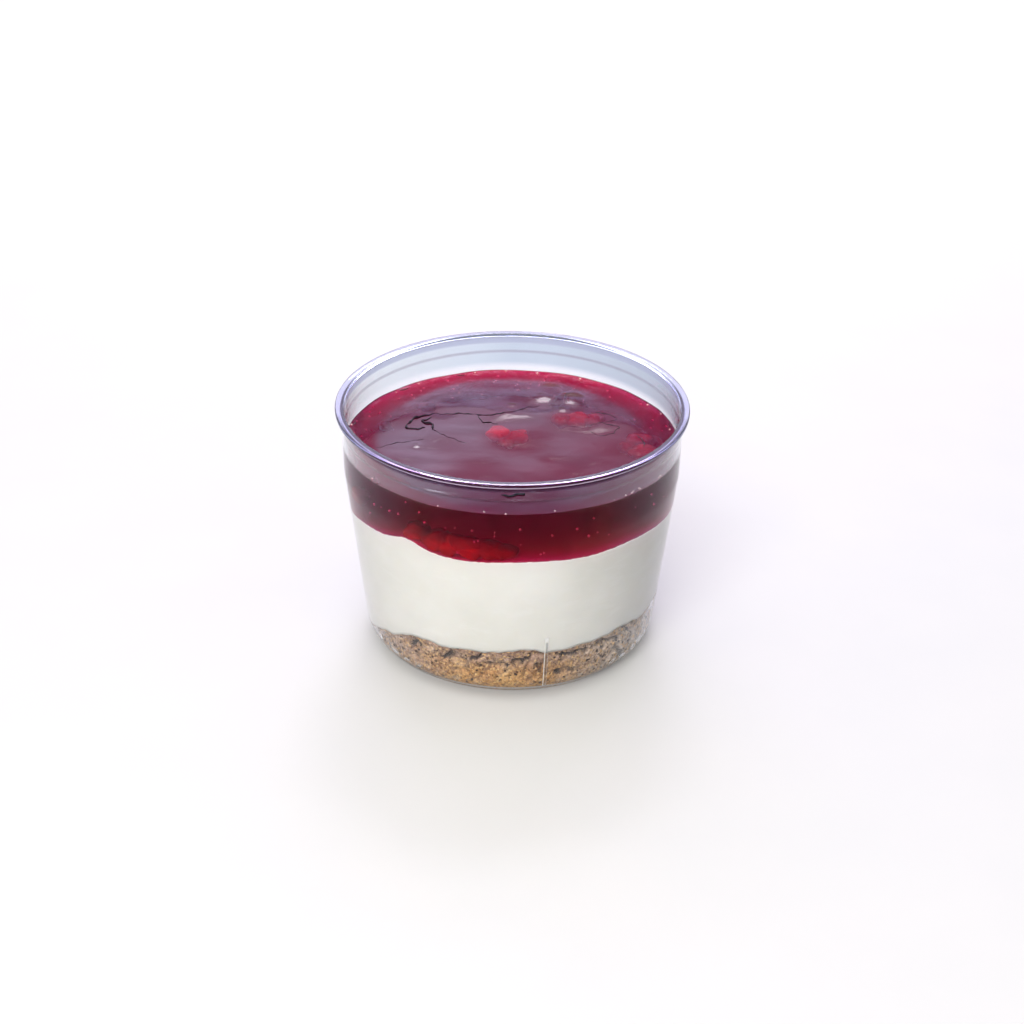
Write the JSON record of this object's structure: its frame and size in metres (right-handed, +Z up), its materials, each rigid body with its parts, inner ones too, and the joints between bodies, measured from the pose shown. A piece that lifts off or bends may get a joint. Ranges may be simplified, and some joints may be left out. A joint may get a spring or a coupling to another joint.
{
  "type": "cheesecake dessert cup",
  "caption": "Clear plastic dessert cup with a flat rim, filled with a biscuit crumb base, a thick cream layer and a glossy berry jelly top.",
  "frame": {"origin": "centre of the cup's flat underside", "axes": "+Z up along the cup's axis; -Y is the front, the side that faces the camera and carries the mould rib; +X to the right as seen from the front"},
  "size_m": [0.085, 0.085, 0.0618],
  "materials": {
    "clear_plastic": "clear, smooth, glossy",
    "biscuit": "coarse pressed crumb",
    "cream": "smooth, satin",
    "jelly": "wet, glossy, translucent"
  },
  "bodies": {
    "root": {"cup": "clear_plastic", "biscuit_base": "biscuit", "cheesecake_cream": "cream", "berry_jelly": "jelly"}
  },
  "joints": []
}
